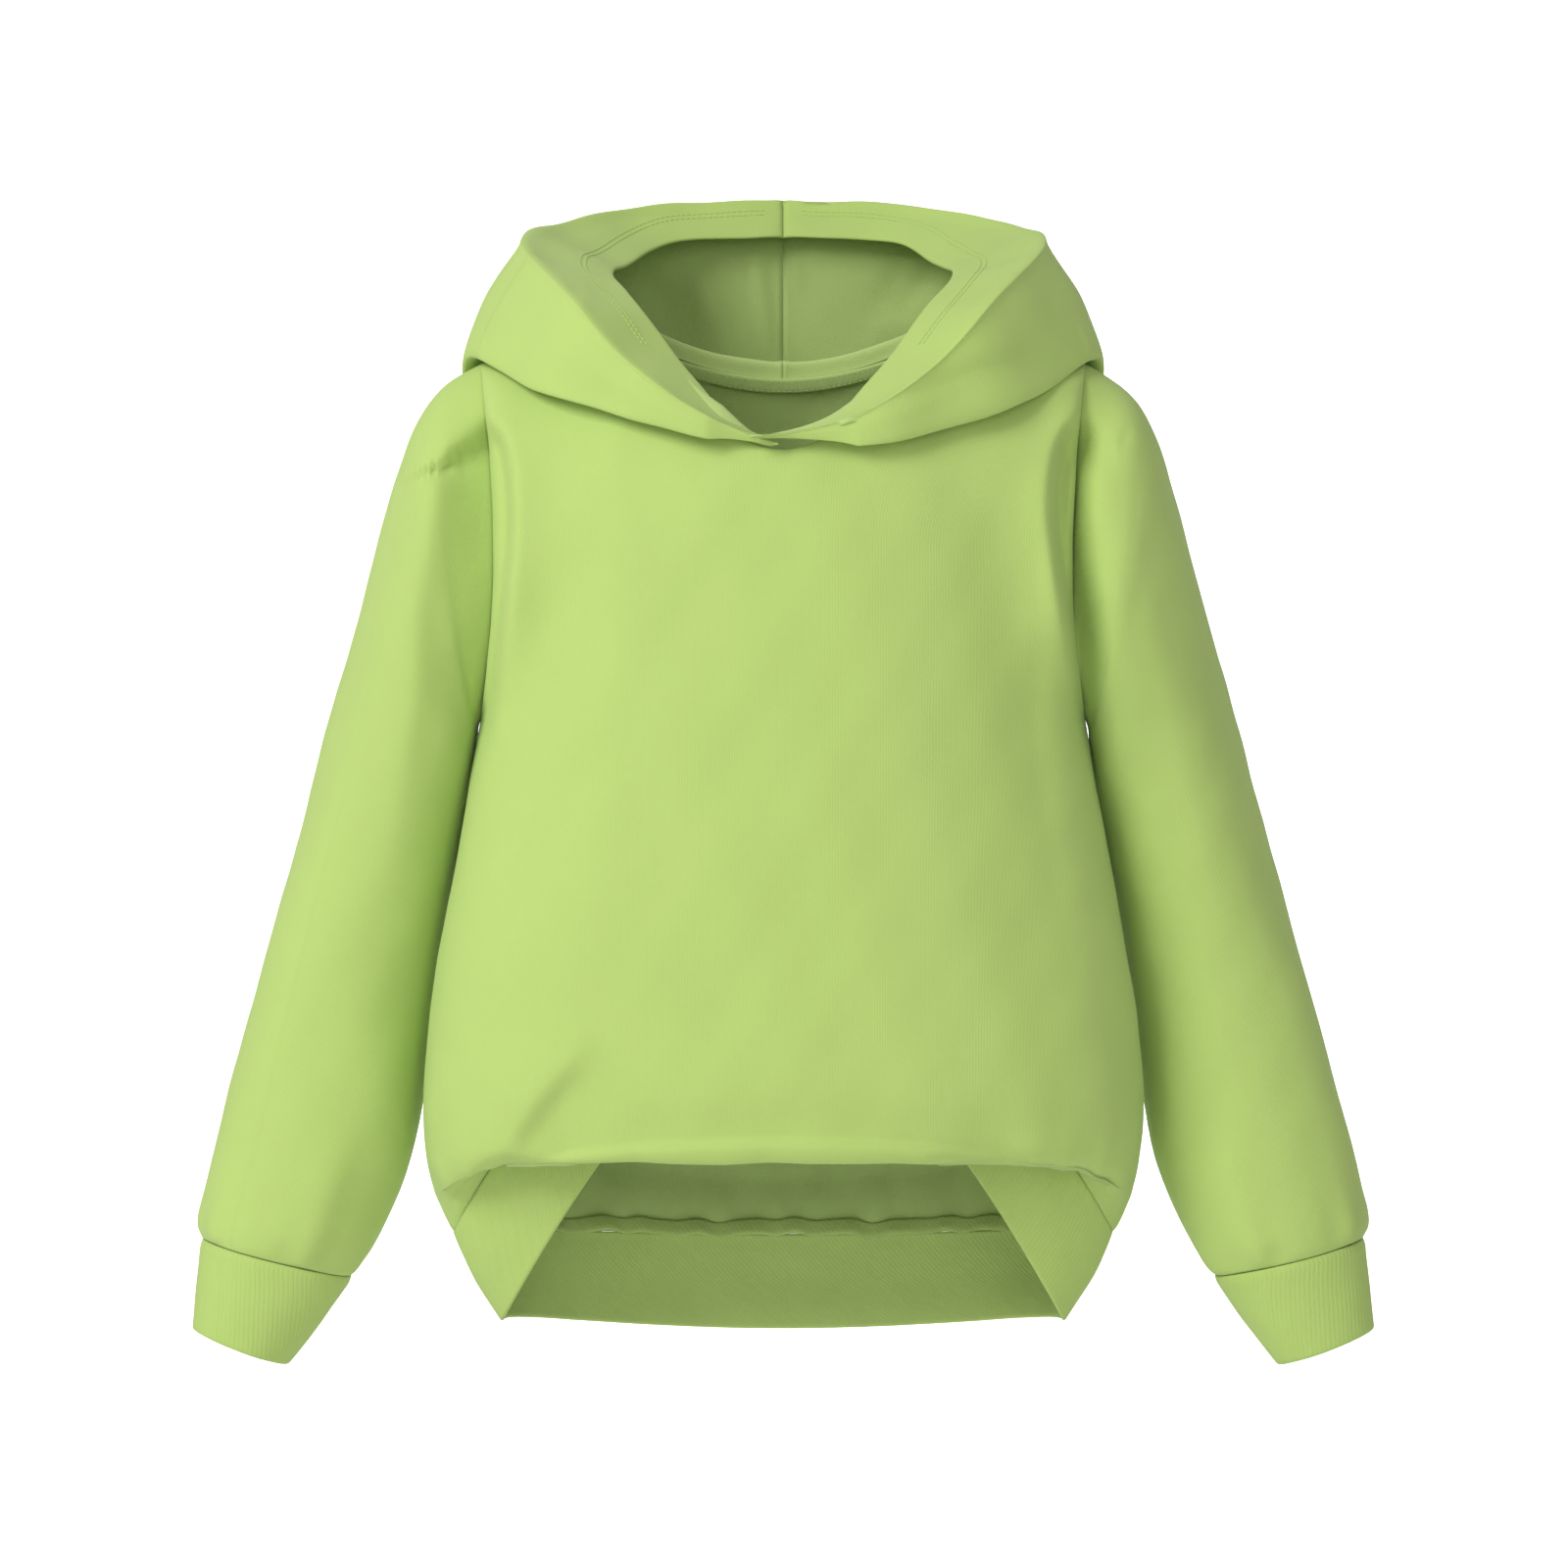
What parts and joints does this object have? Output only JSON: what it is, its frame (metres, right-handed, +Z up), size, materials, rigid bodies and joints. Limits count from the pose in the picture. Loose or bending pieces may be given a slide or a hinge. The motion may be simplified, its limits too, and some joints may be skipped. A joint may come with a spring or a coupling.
{
  "type": "pullover hoodie",
  "caption": "Child's pullover hoodie in plain fleece, filled out as worn, with an open overlapping hood, ribbed cuffs and a ribbed hem band.",
  "frame": {"origin": "midway between the two side neck points, where the wearer's shoulders carry the garment", "axes": "+Z up, -Y out of the front, +X towards the wearer's left arm"},
  "size_m": [0.629, 0.2531, 0.6315],
  "materials": {
    "fleece": "matt brushed-back sweatshirt fleece",
    "rib": "matt 2 by 2 knitted rib"
  },
  "bodies": {
    "root": {"front": "fleece", "back": "fleece", "hem_band": "rib", "sleeve_left": "fleece", "cuff_left": "rib", "hood_left": "fleece", "sleeve_right": "fleece", "cuff_right": "rib", "hood_right": "fleece"}
  },
  "joints": []
}
